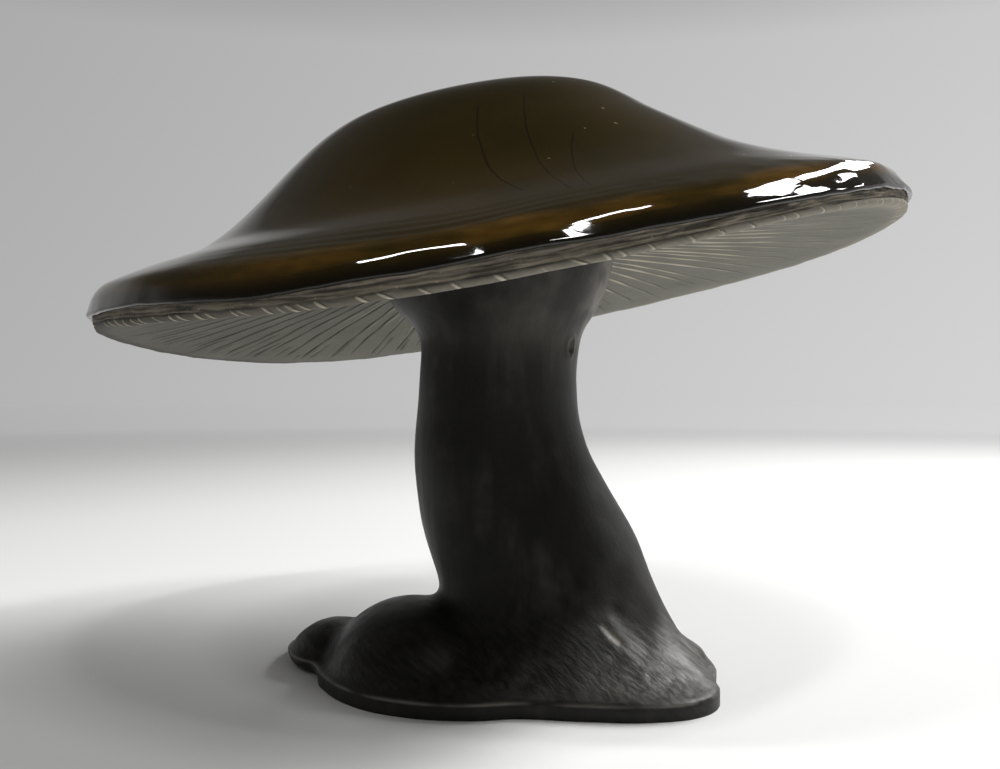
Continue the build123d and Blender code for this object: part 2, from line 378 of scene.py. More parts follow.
def get_points(thing):
    points = np.empty(len(thing.data.vertices) * 3)
    thing.data.vertices.foreach_get("co", points)
    return points.reshape(-1, 3)


def set_points(thing, points):
    thing.data.vertices.foreach_set("co", np.asarray(points, dtype=float).ravel())
    thing.data.update()


def get_normals(thing):
    normals = np.empty(len(thing.data.vertices) * 3)
    thing.data.vertex_normals.foreach_get("vector", normals)
    return normals.reshape(-1, 3)


def set_mask(thing, name, values):
    """Gives a mesh a value at each vertex, which its material reads by name."""
    layer = thing.data.attributes.new(name, "FLOAT", "POINT")
    layer.data.foreach_set("value", np.asarray(values, dtype=float))


def refined(rows, times=1):
    """The rows of a table, with more rows between each two that keep their run smooth."""
    for _ in range(times):
        longer = [rows[0]]
        for index in range(len(rows) - 1):
            before = rows[max(index - 1, 0)]
            here = rows[index]
            after = rows[index + 1]
            beyond = rows[min(index + 2, len(rows) - 1)]
            pairs = zip(before, here, after, beyond)
            longer += [tuple((9 * (near + far) - first - last) / 16 for first, near, far, last in pairs), after]
        rows = longer
    return rows


def turned(name, profile, steps, closed=False):
    """A profile of (radius, height) points, turned once round Z into a closed body."""
    edges = [(index, index + 1) for index in range(len(profile) - 1)]
    if closed:
        edges.append((len(profile) - 1, 0))
    thing = add_mesh(name, [(radius, 0, height) for radius, height in profile], edges)
    screw = thing.modifiers.new("Turn", "SCREW")
    screw.steps = steps
    screw.render_steps = steps
    screw.use_merge_vertices = True
    screw.merge_threshold = 1e-6
    screw.use_normal_calculate = True
    apply_modifiers(thing)
    face_outwards(thing)
    return thing


def face_outwards(thing):
    """Closes a mesh's seams and turns its faces outwards."""
    make_active(thing)
    edit_all()
    bpy.ops.mesh.remove_doubles(threshold=1e-6)
    bpy.ops.mesh.normals_make_consistent(inside=False)
    bpy.ops.object.mode_set(mode="OBJECT")


def smooth_shading(thing):
    make_active(thing)
    bpy.ops.object.shade_smooth()


def roughness_of_hand(points, size, octaves=3, stretch=(1, 1, 1), seed=0.0):
    """Soft noise between about -1 and 1 at each point, with bumps of a size."""
    scaled = points / (size * np.array(stretch)) + seed
    return np.array([noise.fractal(Vector(point), 1.0, 2.0, octaves) for point in scaled])


def smoothstep(low, high, value):
    """A soft step from 0 at one value to 1 at another, which may be the lower one."""
    share = np.clip((value - low) / (high - low), 0, 1)
    return share * share * (3 - 2 * share)


def gauss(value, middle, width):
    """A bell that is 1 at its middle and 0.37 one width away."""
    return np.exp(-(((value - middle) / width) ** 2))


def turn_gap(turns, middle):
    """Angle from a middle direction, between minus pi and pi."""
    return (turns - middle + pi) % (2 * pi) - pi


def polar(points):
    """Distance from the Z axis and direction round it, for each point."""
    return np.hypot(points[:, 0], points[:, 1]), np.arctan2(points[:, 1], points[:, 0])


# The cap's own space: upright and round, before it is widened, waved, tilted and set on the stem


def cap_matrix(cap):
    """Where the cap sits: raised to the rim's height, shifted, tilted and pitched."""
    place = Matrix.Translation((cap.shift, 0, cap.rim_height))
    return place @ Matrix.Rotation(-cap.tilt, 4, "Y") @ Matrix.Rotation(-cap.pitch, 4, "X")


def set_on_stem(thing, points, cap):
    """Takes upright points with round rings to the waved, tilted cap."""
    radius, turns = polar(points)
    share = radius / cap.half_width
    saddle = cap.saddle * np.cos(2 * turns - cap.saddle_turn)
    wave = cap.wave * np.cos(3 * turns - cap.wave_turn)
    warped = points.copy()
    warped[:, 1] *= cap.half_depth / cap.half_width
    warped[:, 2] += (saddle + wave) * share**2
    matrix = np.array(cap_matrix(cap))
    set_points(thing, warped @ matrix[:3, :3].T + matrix[:3, 3])


def glaze_edge_drop(turns):
    """How far the glaze's lower edge hangs below its line, round the rim."""
    ring = np.stack([np.cos(turns), np.sin(turns), np.zeros_like(turns)], axis=1)
    drop = np.interp(np.degrees(turns), *zip(*GLAZE_EDGE))
    drop += 0.00012 * roughness_of_hand(ring, 0.12, seed=3.0) + 0.00010 * roughness_of_hand(ring, 0.04, seed=5.0)
    ragged = gauss(turn_gap(turns, radians(-25)), 0, 0.45)
    return drop + ragged * 0.0005 * roughness_of_hand(ring, 0.05, seed=9.0)


def glaze_top_rows(cap, times):
    """The glazed top from the middle outwards: radius, height on the left, height on the right."""
    glaze_line = cap.plate_edge + cap.band
    return [
        (cap.half_width * share, glaze_line + cap.dome_rise * left, glaze_line + cap.dome_rise * right)
        for share, left, right in refined(TOP_SHARES, times)
    ]


def model_glaze(cap):
    """The glazed dome: its outside with runs and ripples, its bead, and a core that closes it from below."""
    glaze_line = cap.plate_edge + cap.band
    rim = cap.half_width
    rows = glaze_top_rows(cap, 3)
    outside_profile = [(radius, left) for radius, left, _ in rows]
    bead = [
        (rim + cap.bead * swell + cap.glaze * out, glaze_line + cap.glaze * up) for swell, out, up in BEAD_SHARES
    ]
    core = [(rim * share, glaze_line + cap.dome_rise * up) for share, up in CORE_SHARES]
    thing = turned("glaze_dome", outside_profile + refined(bead, 1) + core, GLAZE_STEPS)
    points = get_points(thing)
    radius, turns = polar(points)
    share = radius / rim
    radii, left_heights, right_heights = (np.array(column) for column in zip(*rows))

    # the right side's own profile
    right_share = (1 + np.cos(turns)) / 2
    outside = smoothstep(0, 0.002, points[:, 2] - np.interp(radius, radii, left_heights) + 0.003)
    above_bead = smoothstep(glaze_line, glaze_line + 0.002, points[:, 2])
    difference = np.interp(radius, radii, right_heights - left_heights)
    points[:, 2] += difference * right_share * outside * above_bead
    height = points[:, 2] - glaze_line

    # ripples on the brim, livelier on the right, and soft waves on the dome
    brim = smoothstep(0.84, 0.97, share) * outside
    lively = 0.25 + 0.75 * smoothstep(-0.25, 0.35, np.cos(turns))
    ripple = (0.00020 + 0.00025 * lively) * roughness_of_hand(points, 0.030, 2, seed=2.0)
    ripple += 0.00022 * lively * roughness_of_hand(points, 0.011, 2, seed=7.0)
    points[:, 2] += ripple * brim
    points[:, 2] += 0.0003 * roughness_of_hand(points, 0.05, 2, seed=11.0) * outside * (1 - brim)

    # runs that the glaze left along the front of the brim
    runs = radius + 0.004 * roughness_of_hand(points, 0.07, 2, seed=15.0)
    crest = smoothstep(0.84, 0.88, share) * (1 - smoothstep(0.94, 0.965, share)) * outside
    crest *= gauss(turn_gap(turns, radians(-98)), 0, 0.40)
    points[:, 2] += 0.00010 * crest * np.sin(runs * 2 * pi / 0.0040)

    # the uneven lower edge
    hanging = smoothstep(0.006, 0.0, np.abs(points[:, 2] - glaze_line - 0.0003)) * (radius > rim * 0.955)
    points[:, 2] -= glaze_edge_drop(turns) * hanging
    points[:, :2] *= (1 + 0.0025 * roughness_of_hand(points, 0.014, 2, seed=4.0) * hanging)[:, None]

    set_on_stem(thing, points, cap)
    set_mask(thing, "thin", thin_glaze(height, share, turns))
    set_mask(thing, "pooled", smoothstep(0.0050, 0.0022, height) * smoothstep(0.95, 0.97, share))
    smooth_shading(thing)
    return thing


def thin_glaze(height, share, turns):
    """Where the glaze has run thin and shows amber: a streaked band on the upper half of the brim's roll."""
    around = np.stack([turns * 2.2, height * 60, share * 4], axis=1)
    height = height + 0.0011 * roughness_of_hand(around * [1, 0, 0], 0.22, 2, seed=18.0)
    streaks = smoothstep(-0.75, 0.55, roughness_of_hand(around, 0.5, 4, seed=6.0))
    fine = smoothstep(-0.5, 0.6, roughness_of_hand(around, 0.11, 2, seed=16.0))
    band = smoothstep(0.0026, 0.0050, height) * (1 - smoothstep(0.0088, 0.0112, height))
    band *= smoothstep(0.93, 0.96, share)
    rightwards = 0.55 + 0.45 * smoothstep(-0.7, 0.1, np.cos(turns))
    return np.clip(band * streaks * rightwards * (0.55 + 0.45 * fine), 0, 1)


def model_bare_rim(cap):
    """The torn edge of the shell's clay, which overhangs the gill plate's edge."""
    glaze_line = cap.plate_edge + cap.band
    rim = cap.half_width - cap.glaze
    outer = [
        (rim - cap.glaze * inwards, cap.plate_edge * plate + cap.band * band + cap.glaze * glaze)
        for inwards, plate, band, glaze in RIM_SHARES
    ]
    back = rim - cap.rim_round * 2
    inner = [
        (rim - cap.glaze * 2.5, cap.plate_edge * 0.74),
        (back, cap.plate_edge),
        (back, glaze_line + cap.glaze * 1.2),
    ]
    thing = turned("bare_rim", refined(outer, 2) + inner, RIM_STEPS, closed=True)
    points = get_points(thing)
    radius, turns = polar(points)
    exposed = smoothstep(rim - 0.004, rim - 0.0012, radius)
    around = np.stack([turns * rim, points[:, 2], np.zeros_like(turns)], axis=1)
    layers = roughness_of_hand(around, 0.0008, 3, stretch=(16, 0.8, 1), seed=1.0)
    flakes = np.round(3 * roughness_of_hand(around, 0.0026, 2, stretch=(4, 0.7, 1), seed=17.0)) / 3
    grit = roughness_of_hand(around, 0.0014, 3, stretch=(2.0, 0.8, 1), seed=8.0)
    torn = 0.6 + 0.7 * gauss(turn_gap(turns, radians(-50)), 0, 0.7)
    lip = gauss(points[:, 2], glaze_line - 0.0003, 0.00035)
    out = torn * (0.00026 * layers + 0.00028 * flakes + 0.00014 * grit) * (1 - 0.6 * lip) - 0.00010
    points[:, :2] *= (1 + exposed * out / rim)[:, None]
    points[:, 2] += exposed * 0.00025 * roughness_of_hand(around, 0.010, 3, seed=13.0)
    set_on_stem(thing, points, cap)
    rag = smoothstep(-0.1, 0.5, roughness_of_hand(around, 0.004, 3, stretch=(2, 1, 1), seed=19.0))
    burr = gauss(around[:, 1], glaze_line - cap.band * 0.75, 0.00028)
    burr *= rag * gauss(turn_gap(turns, radians(-48)), 0, 0.45)
    # torn follows the layers pushed out above: lighter where they stand out, painted shade where they lie back
    set_mask(thing, "torn", np.clip(0.5 + 0.85 * layers + 0.15 * flakes + 0.2 * grit, 0, 1))
    set_mask(thing, "lip", np.clip(exposed * (0.75 * lip * (0.4 + 0.6 * rag) + burr), 0, 1))
    smooth_shading(thing)
    return thing


def gill_cuts(turns, share, gills, rim):
    """Depth of the incised lines and height of their burrs at each point, both as shares, which also set the painted
    shade in the lines and the painted highlights on the burrs.
    """
    rng = np.random.default_rng(GILL_SEED)
    cut = np.zeros_like(turns)
    burr = np.zeros_like(turns)
    radius = share * rim
    for index in range(gills.count * 2):
        # every second line is a short one near the rim
        primary = index % 2 == 0
        start = rng.uniform(0.20, 0.30) if primary else rng.uniform(0.72, 0.88)
        end = rng.uniform(0.88, 0.950) if primary else rng.uniform(0.93, 0.965)
        wander = rng.normal(0, 0.10)
        bend = rng.normal(0, 0.012)
        strength = rng.uniform(0.6, 1.0) if primary else rng.uniform(0.2, 0.9)
        side = 1 if rng.random() < 0.8 else -1
        middle = 2 * pi * (index / 2 + wander) / gills.count
        # on the left the cuts are wider and deeper and their painted shade darker, on the right the burrs stand
        # higher and their painted highlights brighter, as the light comes from the right
        leftwards = (1 - cos(middle)) / 2
        width = gills.width * (0.75 + 0.45 * leftwards)
        gap = turn_gap(turns, middle + bend * np.sin(share * 4 + index)) * radius
        near = np.abs(gap) < width * 3
        along = smoothstep(start, start + 0.03, share[near]) * (1 - smoothstep(end - 0.05, end, share[near]))
        along *= strength * (0.8 + 0.2 * np.sin(share[near] * 40 + index * 2.3))
        thrown = along * (0.25 + 0.75 * (1 - leftwards)) * (1 - 0.7 * smoothstep(0.55, 0.85, share[near]))
        cut[near] = np.maximum(cut[near], along * (0.55 + 0.45 * leftwards) * gauss(gap[near], 0, width * 0.5))
        burr[near] = np.maximum(burr[near], thrown * gauss(gap[near], side * width * 1.1, width * 0.8))
    return cut, burr


def edge_nicks(turns, rim, height, plate_edge):
    """Slanted nicks that a blade left along the plate's lower edge, at the front."""
    rng = np.random.default_rng(NICK_SEED)
    nick = np.zeros_like(turns)
    burr = np.zeros_like(turns)
    low = smoothstep(plate_edge * 0.75, plate_edge * 0.35, height)
    place = -150.0
    while place < -15:
        place += rng.uniform(1.4, 4.6)
        size = rng.uniform(0.00035, 0.00065)
        strength = rng.uniform(0.35, 1.0)
        across = turn_gap(turns, radians(place)) * rim + height * rng.uniform(0.9, 2.2)
        nick = np.maximum(nick, strength * gauss(across, 0, size))
        burr = np.maximum(burr, strength * gauss(across, -1.7 * size, size * 0.9))
    return nick * low, burr * low


def model_gill_plate(cap, gills):
    """The coned plate with its incised lines and burrs, and the nicks and seam along its edge."""
    rim = cap.half_width
    row_shares, row_heights = zip(*reversed(refined(GILL_SHARES, 2)))
    shares = np.concatenate([np.linspace(0.935, 0.27, UNDER_RINGS), [0.2, 0.1, 0.0]])
    heights = np.interp(shares, row_shares, row_heights)
    top_rows = (GILL_SHARES[6], GILL_SHARES[3], GILL_SHARES[1])
    top = [(rim * share, cap.gill_rise * height + cap.plate) for share, height in top_rows]
    edge = [(rim - cap.rim_round * inwards, cap.plate_edge * up) for inwards, up in PLATE_EDGE_SHARES]
    under = [(rim * share, cap.gill_rise * height) for share, height in zip(shares, heights)]
    thing = turned("gill_plate_cut", top + refined(edge, 1) + under, PLATE_STEPS)
    points = get_points(thing)
    radius, turns = polar(points)
    share = radius / rim

    # the cone's underside
    floor = np.interp(share, row_shares, np.array(row_heights) * cap.gill_rise)
    below = (points[:, 2] < floor + cap.plate * 0.4) * smoothstep(0.15, 0.25, share)
    cut, burr = gill_cuts(turns, share, gills, rim)
    points[:, 2] += below * (gills.depth * cut - gills.burr * burr)
    points[:, 2] += below * 0.0003 * roughness_of_hand(points, 0.02, 2, seed=21.0)

    # the edge
    around = np.stack([turns * rim, points[:, 2], radius], axis=1)
    edge_share = smoothstep(0.945, 0.975, share) * (points[:, 2] < cap.plate_edge * 0.9)
    nick, nick_burr = (values * edge_share for values in edge_nicks(turns, rim, points[:, 2], cap.plate_edge))
    # a seam round the edge, set back, and painted dark as its shadow through the cut mask
    seam = gauss(points[:, 2], cap.plate_edge * 0.66, 0.0003) * edge_share
    seam *= smoothstep(-0.5, 0.3, roughness_of_hand(around, 0.012, 3, seed=27.0))
    points[:, 2] += edge_share * 0.00015 * roughness_of_hand(around, 0.010, 3, seed=23.0)
    ragged = 0.00026 * roughness_of_hand(around, 0.0022, 3, stretch=(5, 1, 1), seed=25.0)
    ragged += 0.0004 * nick_burr - 0.0004 * nick - 0.0004 * seam
    points[:, :2] *= (1 + edge_share * ragged / rim)[:, None]

    set_on_stem(thing, points, cap)
    # the cut mask paints shade in the lines, the nicks and the seam
    set_mask(thing, "cut", np.maximum(np.maximum(cut * below, 0.5 * nick), 0.55 * seam))
    # the burr mask paints highlights on the burrs of the lines and nicks
    set_mask(thing, "burr", np.maximum(burr * below, nick_burr))
    set_mask(thing, "edge", edge_share)
    smooth_shading(thing)
    return thing


def stem_ring(middle, half_width, half_depth, tilt, toe, stem, count=96):
    """One ring of the stem, with the toe pushed out of it and its right side raised by the tilt."""
    ring = []
    for step in range(count):
        turn = 2 * pi * step / count
        out = stem.toe * toe * exp(-((turn_gap(turn, stem.toe_turn) / stem.toe_spread) ** 2))
        across = (half_width + out) * cos(turn)
        back = (half_depth + out) * sin(turn)
        ring.append((middle[0] + across, middle[1] + back, middle[2] + across * tan(tilt)))
    return ring


def model_stem_core(cap, stem, foot):
    """The stem as a stack of rings, from inside the slab up into the gill plate."""
    top = cap.rim_height + cap.gill_rise * GILL_SHARES[4][1] + cap.plate / 2
    collar_foot = top - stem.collar
    rings = []
    for rise, lean, reach, width, depth, toe in refined(ROOT_SHARES, 2):
        up = foot.thickness + (collar_foot - foot.thickness) * rise
        if rise == 0:
            up = foot.thickness * 0.2
        middle = (stem.lean * lean, -stem.reach * reach, up)
        half_width = stem.half_width + stem.spread * width
        half_depth = stem.half_depth + stem.spread * depth
        rings.append(stem_ring(middle, half_width, half_depth, 0, toe, stem))
    for rise, lean, flare, tilt in refined(COLLAR_SHARES, 2):
        middle = (stem.lean * lean, 0, collar_foot + stem.collar * rise)
        half_width = stem.half_width + stem.flare * flare
        half_depth = stem.half_depth + stem.flare * flare
        rings.append(stem_ring(middle, half_width, half_depth, cap.tilt * tilt, 0, stem))
    count = len(rings[0])
    faces = [tuple(range(count - 1, -1, -1)), tuple(range((len(rings) - 1) * count, len(rings) * count))]
    for level in range(len(rings) - 1):
        for step in range(count):
            after = (step + 1) % count
            low, high = level * count, (level + 1) * count
            faces.append((low + step, low + after, high + after, high + step))
    return add_mesh("stem_core", [point for ring in rings for point in ring], (), faces)


def add_lump(centre, half_sizes):
    """An egg of clay, pressed on and flat below."""
    deselect_all()
    bpy.ops.mesh.primitive_uv_sphere_add(segments=64, ring_count=32, radius=1, location=centre, scale=half_sizes)
    lump = bpy.context.active_object
    bpy.ops.object.transform_apply(location=True, rotation=True, scale=True)
    edit_all()
    bpy.ops.mesh.bisect(plane_co=(0, 0, 0.001), plane_no=(0, 0, 1), use_fill=True, clear_inner=True)
    bpy.ops.object.mode_set(mode="OBJECT")
    return lump


def slab_outline(foot):
    """The slab's outline as a smooth closed curve, made a flat face."""
    curve = bpy.data.curves.new("slab", "CURVE")
    spline = curve.splines.new("BEZIER")
    spline.bezier_points.add(len(SLAB_SHARES) - 1)
    for point, (across, back) in zip(spline.bezier_points, SLAB_SHARES):
        point.co = (foot.half_width * across, foot.half_depth * back - foot.front_shift, 0)
        point.handle_left_type = point.handle_right_type = "AUTO"
    spline.use_cyclic_u = True
    curve.resolution_u = 8
    thing = bpy.data.objects.new("slab", curve)
    bpy.context.collection.objects.link(thing)
    make_active(thing)
    bpy.ops.object.convert(target="MESH")
    edit_all()
    bpy.ops.mesh.edge_face_add()
    bpy.ops.object.mode_set(mode="OBJECT")
    return bpy.context.active_object


def model_slab(foot):
    """The slab, and the low skirt of clay that rises from its edge to the root."""
    slab = slab_outline(foot)
    outline = get_points(slab)[:, :2]
    edit_all()
    side_steps = [(1.0, foot.thickness - foot.edge * 0.2), (0.993, foot.edge * 0.35)]
    for size, rise in side_steps + SKIRT_STEPS:
        bpy.ops.mesh.extrude_region_move(TRANSFORM_OT_translate={"value": (0, 0, rise)})
        bpy.ops.transform.resize(value=(size, size, 1), center_override=SKIRT_MIDDLE)
    bpy.ops.mesh.select_all(action="SELECT")
    bpy.ops.mesh.normals_make_consistent(inside=False)
    bpy.ops.object.mode_set(mode="OBJECT")
    return slab, outline


def nearest_on_outline(points, outline):
    """Nearest place on the slab's outline for each point, seen from above, and its distance."""
    place = np.zeros((len(points), 2))
    best = np.full(len(points), 1.0)
    for start, end in zip(outline, np.roll(outline, -1, axis=0)):
        run = end - start
        share = np.clip(((points[:, :2] - start) @ run) / (run @ run), 0, 1)
        here = start + share[:, None] * run
        gap = np.linalg.norm(points[:, :2] - here, axis=1)
        place[gap < best] = here[gap < best]
        best = np.minimum(best, gap)
    return place, best


def press_smooth(thing, times, weight, filling):
    """Smooths a skin by hand. With filling, only its creases are filled and nothing is worn away."""
    edges = np.empty(len(thing.data.edges) * 2, dtype=int)
    thing.data.edges.foreach_get("vertices", edges)
    first, second = edges.reshape(-1, 2).T
    points = get_points(thing)
    count = np.bincount(first, minlength=len(points)) + np.bincount(second, minlength=len(points))
    for _ in range(times):
        total = np.zeros_like(points)
        for axis in range(3):
            total[:, axis] += np.bincount(first, points[second, axis], minlength=len(points))
            total[:, axis] += np.bincount(second, points[first, axis], minlength=len(points))
        step = (total / count[:, None] - points) * weight[:, None]
        if filling:
            normals = get_normals(thing)
            outwards = (step * normals).sum(axis=1)
            step = np.where(outwards[:, None] > 0, step, step - normals * outwards[:, None])
        points = points + step
        set_points(thing, points)
    return points


def model_clay_body(cap, stem, foot):
    """Stem, mound, lobes and slab pressed together into one skin of dark clay."""
    slab, outline = model_slab(foot)
    pieces = [slab, model_stem_core(cap, stem, foot)]
    pieces += [add_lump(middle, half_sizes) for middle, half_sizes in LUMPS]
    deselect_all()
    for piece in pieces:
        piece.select_set(True)
    bpy.context.view_layer.objects.active = pieces[0]
    bpy.ops.object.join()
    body = bpy.context.active_object
    body.name = "clay_body"
    body.data.name = "clay_body"
    remesh = body.modifiers.new("Press together", "REMESH")
    remesh.mode = "VOXEL"
    remesh.voxel_size = stem.voxel
    apply_modifiers(body)
    points = get_points(body)
    gap = nearest_on_outline(points, outline)[1]
    inner = smoothstep(0.002, 0.008, gap) + smoothstep(0.007, 0.011, points[:, 2])
    inner = np.clip(inner, 0, 1) * smoothstep(0.0004, 0.003, points[:, 2])
    press_smooth(body, 4, 0.06 + 0.44 * inner, filling=False)
    press_smooth(body, 60, 0.7 * inner, filling=True)
    press_smooth(body, 8, 0.5 * inner, filling=False)
    true_slab_side(body, outline, foot)
    finish_clay_skin(body, outline)
    drill_vent(body)
    smooth_shading(body)
    return body


def true_slab_side(body, outline, foot):
    """Sets the slab's cut side back on its outline, rounds the two lobes past it, and flattens the underside."""
    points = get_points(body)
    place, gap = nearest_on_outline(points, outline)
    left_lobe = smoothstep(-0.058, -0.066, points[:, 0])
    right_lobe = smoothstep(0.050, 0.060, points[:, 0]) * smoothstep(-0.038, -0.031, points[:, 1])
    lobes = left_lobe + right_lobe * smoothstep(0.012, 0.0, points[:, 1])
    side = smoothstep(0.0022, 0.0012, gap) * smoothstep(foot.thickness, foot.thickness - 0.0008, points[:, 2])
    points[:, :2] += (place - points[:, :2]) * (side * (1 - lobes))[:, None]
    inwards = np.array(SLAB_MIDDLE) - place
    inwards /= np.linalg.norm(inwards, axis=1)[:, None]
    tucked = lobes * smoothstep(0.005, 0.0, points[:, 2]) ** 2 * smoothstep(0.006, 0.0, gap)
    rounded = lobes * smoothstep(0.003, 0.010, points[:, 2]) * smoothstep(0.004, 0.0, gap)
    points[:, :2] += inwards * (0.0022 * tucked)[:, None]
    points[:, :2] += inwards * (0.0012 * rounded)[:, None]
    points[:, 2] *= smoothstep(0, 0.0008, points[:, 2])
    set_points(body, points)


def drill_vent(body):
    """The kiln's vent in the foot."""
    deselect_all()
    bpy.ops.mesh.primitive_cylinder_add(vertices=48, radius=VENT_RADIUS, depth=VENT_DEPTH, location=VENT_PLACE)
    drill = bpy.context.active_object
    cut = body.modifiers.new("Vent", "BOOLEAN")
    cut.operation = "DIFFERENCE"
    cut.object = drill
    apply_modifiers(body)
    bpy.data.objects.remove(drill, do_unlink=True)


def along_path(points, path, half_widths):
    """Nearness of each point on the front to a path of (X, Z) places, which has its own half widths."""
    best = np.zeros(len(points))
    flat = points[:, [0, 2]]
    for start, end, start_width, end_width in zip(path, path[1:], half_widths, half_widths[1:]):
        start, end = np.array(start), np.array(end)
        run = end - start
        share = np.clip(((flat - start) @ run) / (run @ run), 0, 1)
        gap = np.linalg.norm(flat - start - share[:, None] * run, axis=1)
        best = np.maximum(best, gauss(gap, 0, start_width + (end_width - start_width) * share))
    return best * (points[:, 1] < -0.015)


def hand_marks(points):
    """How far hands and a soft brush left each place of the clay skin in or out."""
    push = 0.00020 * roughness_of_hand(points, 0.018, 2, seed=31.0)
    push += 0.00005 * roughness_of_hand(points, 0.0035, 2, stretch=(1, 1, 7), seed=33.0)
    low = smoothstep(0.035, 0.012, points[:, 2])
    across = points[:, 0] * 0.8 + points[:, 2] * 0.6
    up = points[:, 2] * 0.8 - points[:, 0] * 0.6
    brushed = np.stack([across, points[:, 1], up], axis=1)
    return push + low * 0.00009 * roughness_of_hand(brushed, 0.0022, 2, stretch=(6, 3, 1), seed=35.0)


def collar_highlight_and_wash(points):
    """A painted highlight on the collar: an arc on its right, where the light from the right falls, and a cloudy
    pale wash that grows towards the cap and to the right.
    """
    turns = np.arctan2(points[:, 1], points[:, 0] - 0.0015)
    arc = gauss(turn_gap(turns, radians(-20)), 0, 0.22) * smoothstep(0.109, 0.118, points[:, 2])
    arc *= smoothstep(-0.7, 0.3, roughness_of_hand(points, 0.009, 3, seed=41.0))
    cloudy = smoothstep(-0.5, 0.5, roughness_of_hand(points, 0.02, 3, seed=43.0))
    painted_wash = 0.34 * smoothstep(0.095, 0.130, points[:, 2]) * smoothstep(-0.012, 0.010, points[:, 0]) * cloudy
    return 0.95 * arc + painted_wash


def finish_clay_skin(body, outline):
    """Presses the marks of hands, the toe's marks and the chip into the skin, and masks the chip, the rubbed edge,
    the dull place, and the pale scratched dent with the painted highlight on the collar.
    """
    points = get_points(body)
    normals = get_normals(body)
    gap = nearest_on_outline(points, outline)[1]
    inside = smoothstep(0, 0.003, gap) + smoothstep(0.006, 0.009, points[:, 2])
    above = smoothstep(0.001, 0.004, points[:, 2]) * np.clip(inside, 0.2, 1)
    marks = (TOE_DENT, TOE_CREASE, TOE_RIDGE, TOE_HOLLOW)
    dent, crease, ridge, hollow = (along_path(points, *mark) for mark in marks)
    chip_gap = np.linalg.norm((points - np.array(CHIP_PLACE)) / np.array(CHIP_STRETCH), axis=1)
    chip = smoothstep(0.0026, 0.0012, chip_gap + 0.0005 * roughness_of_hand(points, 0.0015, 2, seed=37.0))
    push = hand_marks(points)
    push += 0.0003 * ridge - 0.0006 * dent - 0.0007 * crease
    push += 0.0003 * gauss(chip_gap, 0.0026, 0.0007) - 0.0008 * chip
    edge = smoothstep(0.0036, 0.0020, gap) * smoothstep(0.0024, 0.0036, points[:, 2])
    set_points(body, points + normals * (push * above)[:, None])
    set_mask(body, "chip", chip)
    set_mask(body, "rub", edge * smoothstep(-0.9, 0.2, roughness_of_hand(points, 0.014, 3, seed=39.0)))
    set_mask(body, "dull", hollow)
    # bare holds the pale scratched dent and the painted highlight on the collar
    set_mask(body, "bare", np.clip(dent + collar_highlight_and_wash(points), 0, 1))


# Materials


def add_node(tree, kind, **settings):
    node = tree.nodes.new(kind)
    for name, value in settings.items():
        setattr(node, name, value)
    return node


def plug(tree, value, socket):
    """Links a socket to another, or sets its own value."""
    if isinstance(value, bpy.types.NodeSocket):
        tree.links.new(value, socket)
    else:
        socket.default_value = value


def feed(tree, node, **values):
    """Links or sets inputs by name, with _ for a space."""
    for name, value in values.items():
        plug(tree, value, node.inputs[name.replace("_", " ")])
    return node


def math(tree, operation, first, second=0.0, *more, clamp=False):
    """A Math node, with another behind it for each further value."""
    node = add_node(tree, "ShaderNodeMath", operation=operation, use_clamp=clamp)
    plug(tree, first, node.inputs[0])
    plug(tree, second, node.inputs[1])
    if more:
        return math(tree, operation, node.outputs[0], *more, clamp=clamp)
    return node.outputs[0]


def weighted(tree, *pairs):
    """The sum of some values, each times its weight."""
    return math(tree, "ADD", *[math(tree, "MULTIPLY", value, weight) for value, weight in pairs])


def separate(tree, vector):
    """The X, Y and Z of a vector."""
    return feed(tree, add_node(tree, "ShaderNodeSeparateXYZ"), Vector=vector).outputs


def ramp(tree, value, stops):
    """A tone for each value, from stops of (value, tone)."""
    node = add_node(tree, "ShaderNodeValToRGB")
    elements = node.color_ramp.elements
    while len(elements) < len(stops):
        elements.new(0.5)
    for element, (place, tone) in zip(elements, stops):
        element.position = place
        element.color = (tone, tone, tone, 1)
    tree.links.new(value, node.inputs["Fac"])
    return node.outputs["Color"]


def live_socket(sockets, name):
    """The socket of a name that a Mix node shows for its kind of data."""
    return next(socket for socket in sockets if socket.name == name and socket.enabled)


def mix(tree, kind, share, first, second):
    """A Mix node for a kind of data, with each input linked or set."""
    node = add_node(tree, "ShaderNodeMix", data_type=kind)
    for name, value in (("Factor", share), ("A", first), ("B", second)):
        plug(tree, value, live_socket(node.inputs, name))
    return live_socket(node.outputs, "Result")


def blend_colours(tree, share, first, second):
    """A colour between two, each a socket or (red, green, blue)."""
    first, second = ((*value, 1) if isinstance(value, tuple) else value for value in (first, second))
    return mix(tree, "RGBA", share, first, second)


def noise_at(tree, vector, scale, detail=3.0, roughness=0.5, stretch=(1, 1, 1), turn=(0, 0, 0)):
    """Noise whose bumps are drawn out where the stretch is below 1, along axes that a turn sets."""
    mapping = add_node(tree, "ShaderNodeMapping", vector_type="TEXTURE")
    feed(tree, mapping, Vector=vector, Scale=[1 / share for share in stretch], Rotation=turn)
    texture = add_node(tree, "ShaderNodeTexNoise")
    feed(tree, texture, Vector=mapping.outputs["Vector"], Scale=scale, Detail=detail, Roughness=roughness)
    return texture.outputs["Fac"]


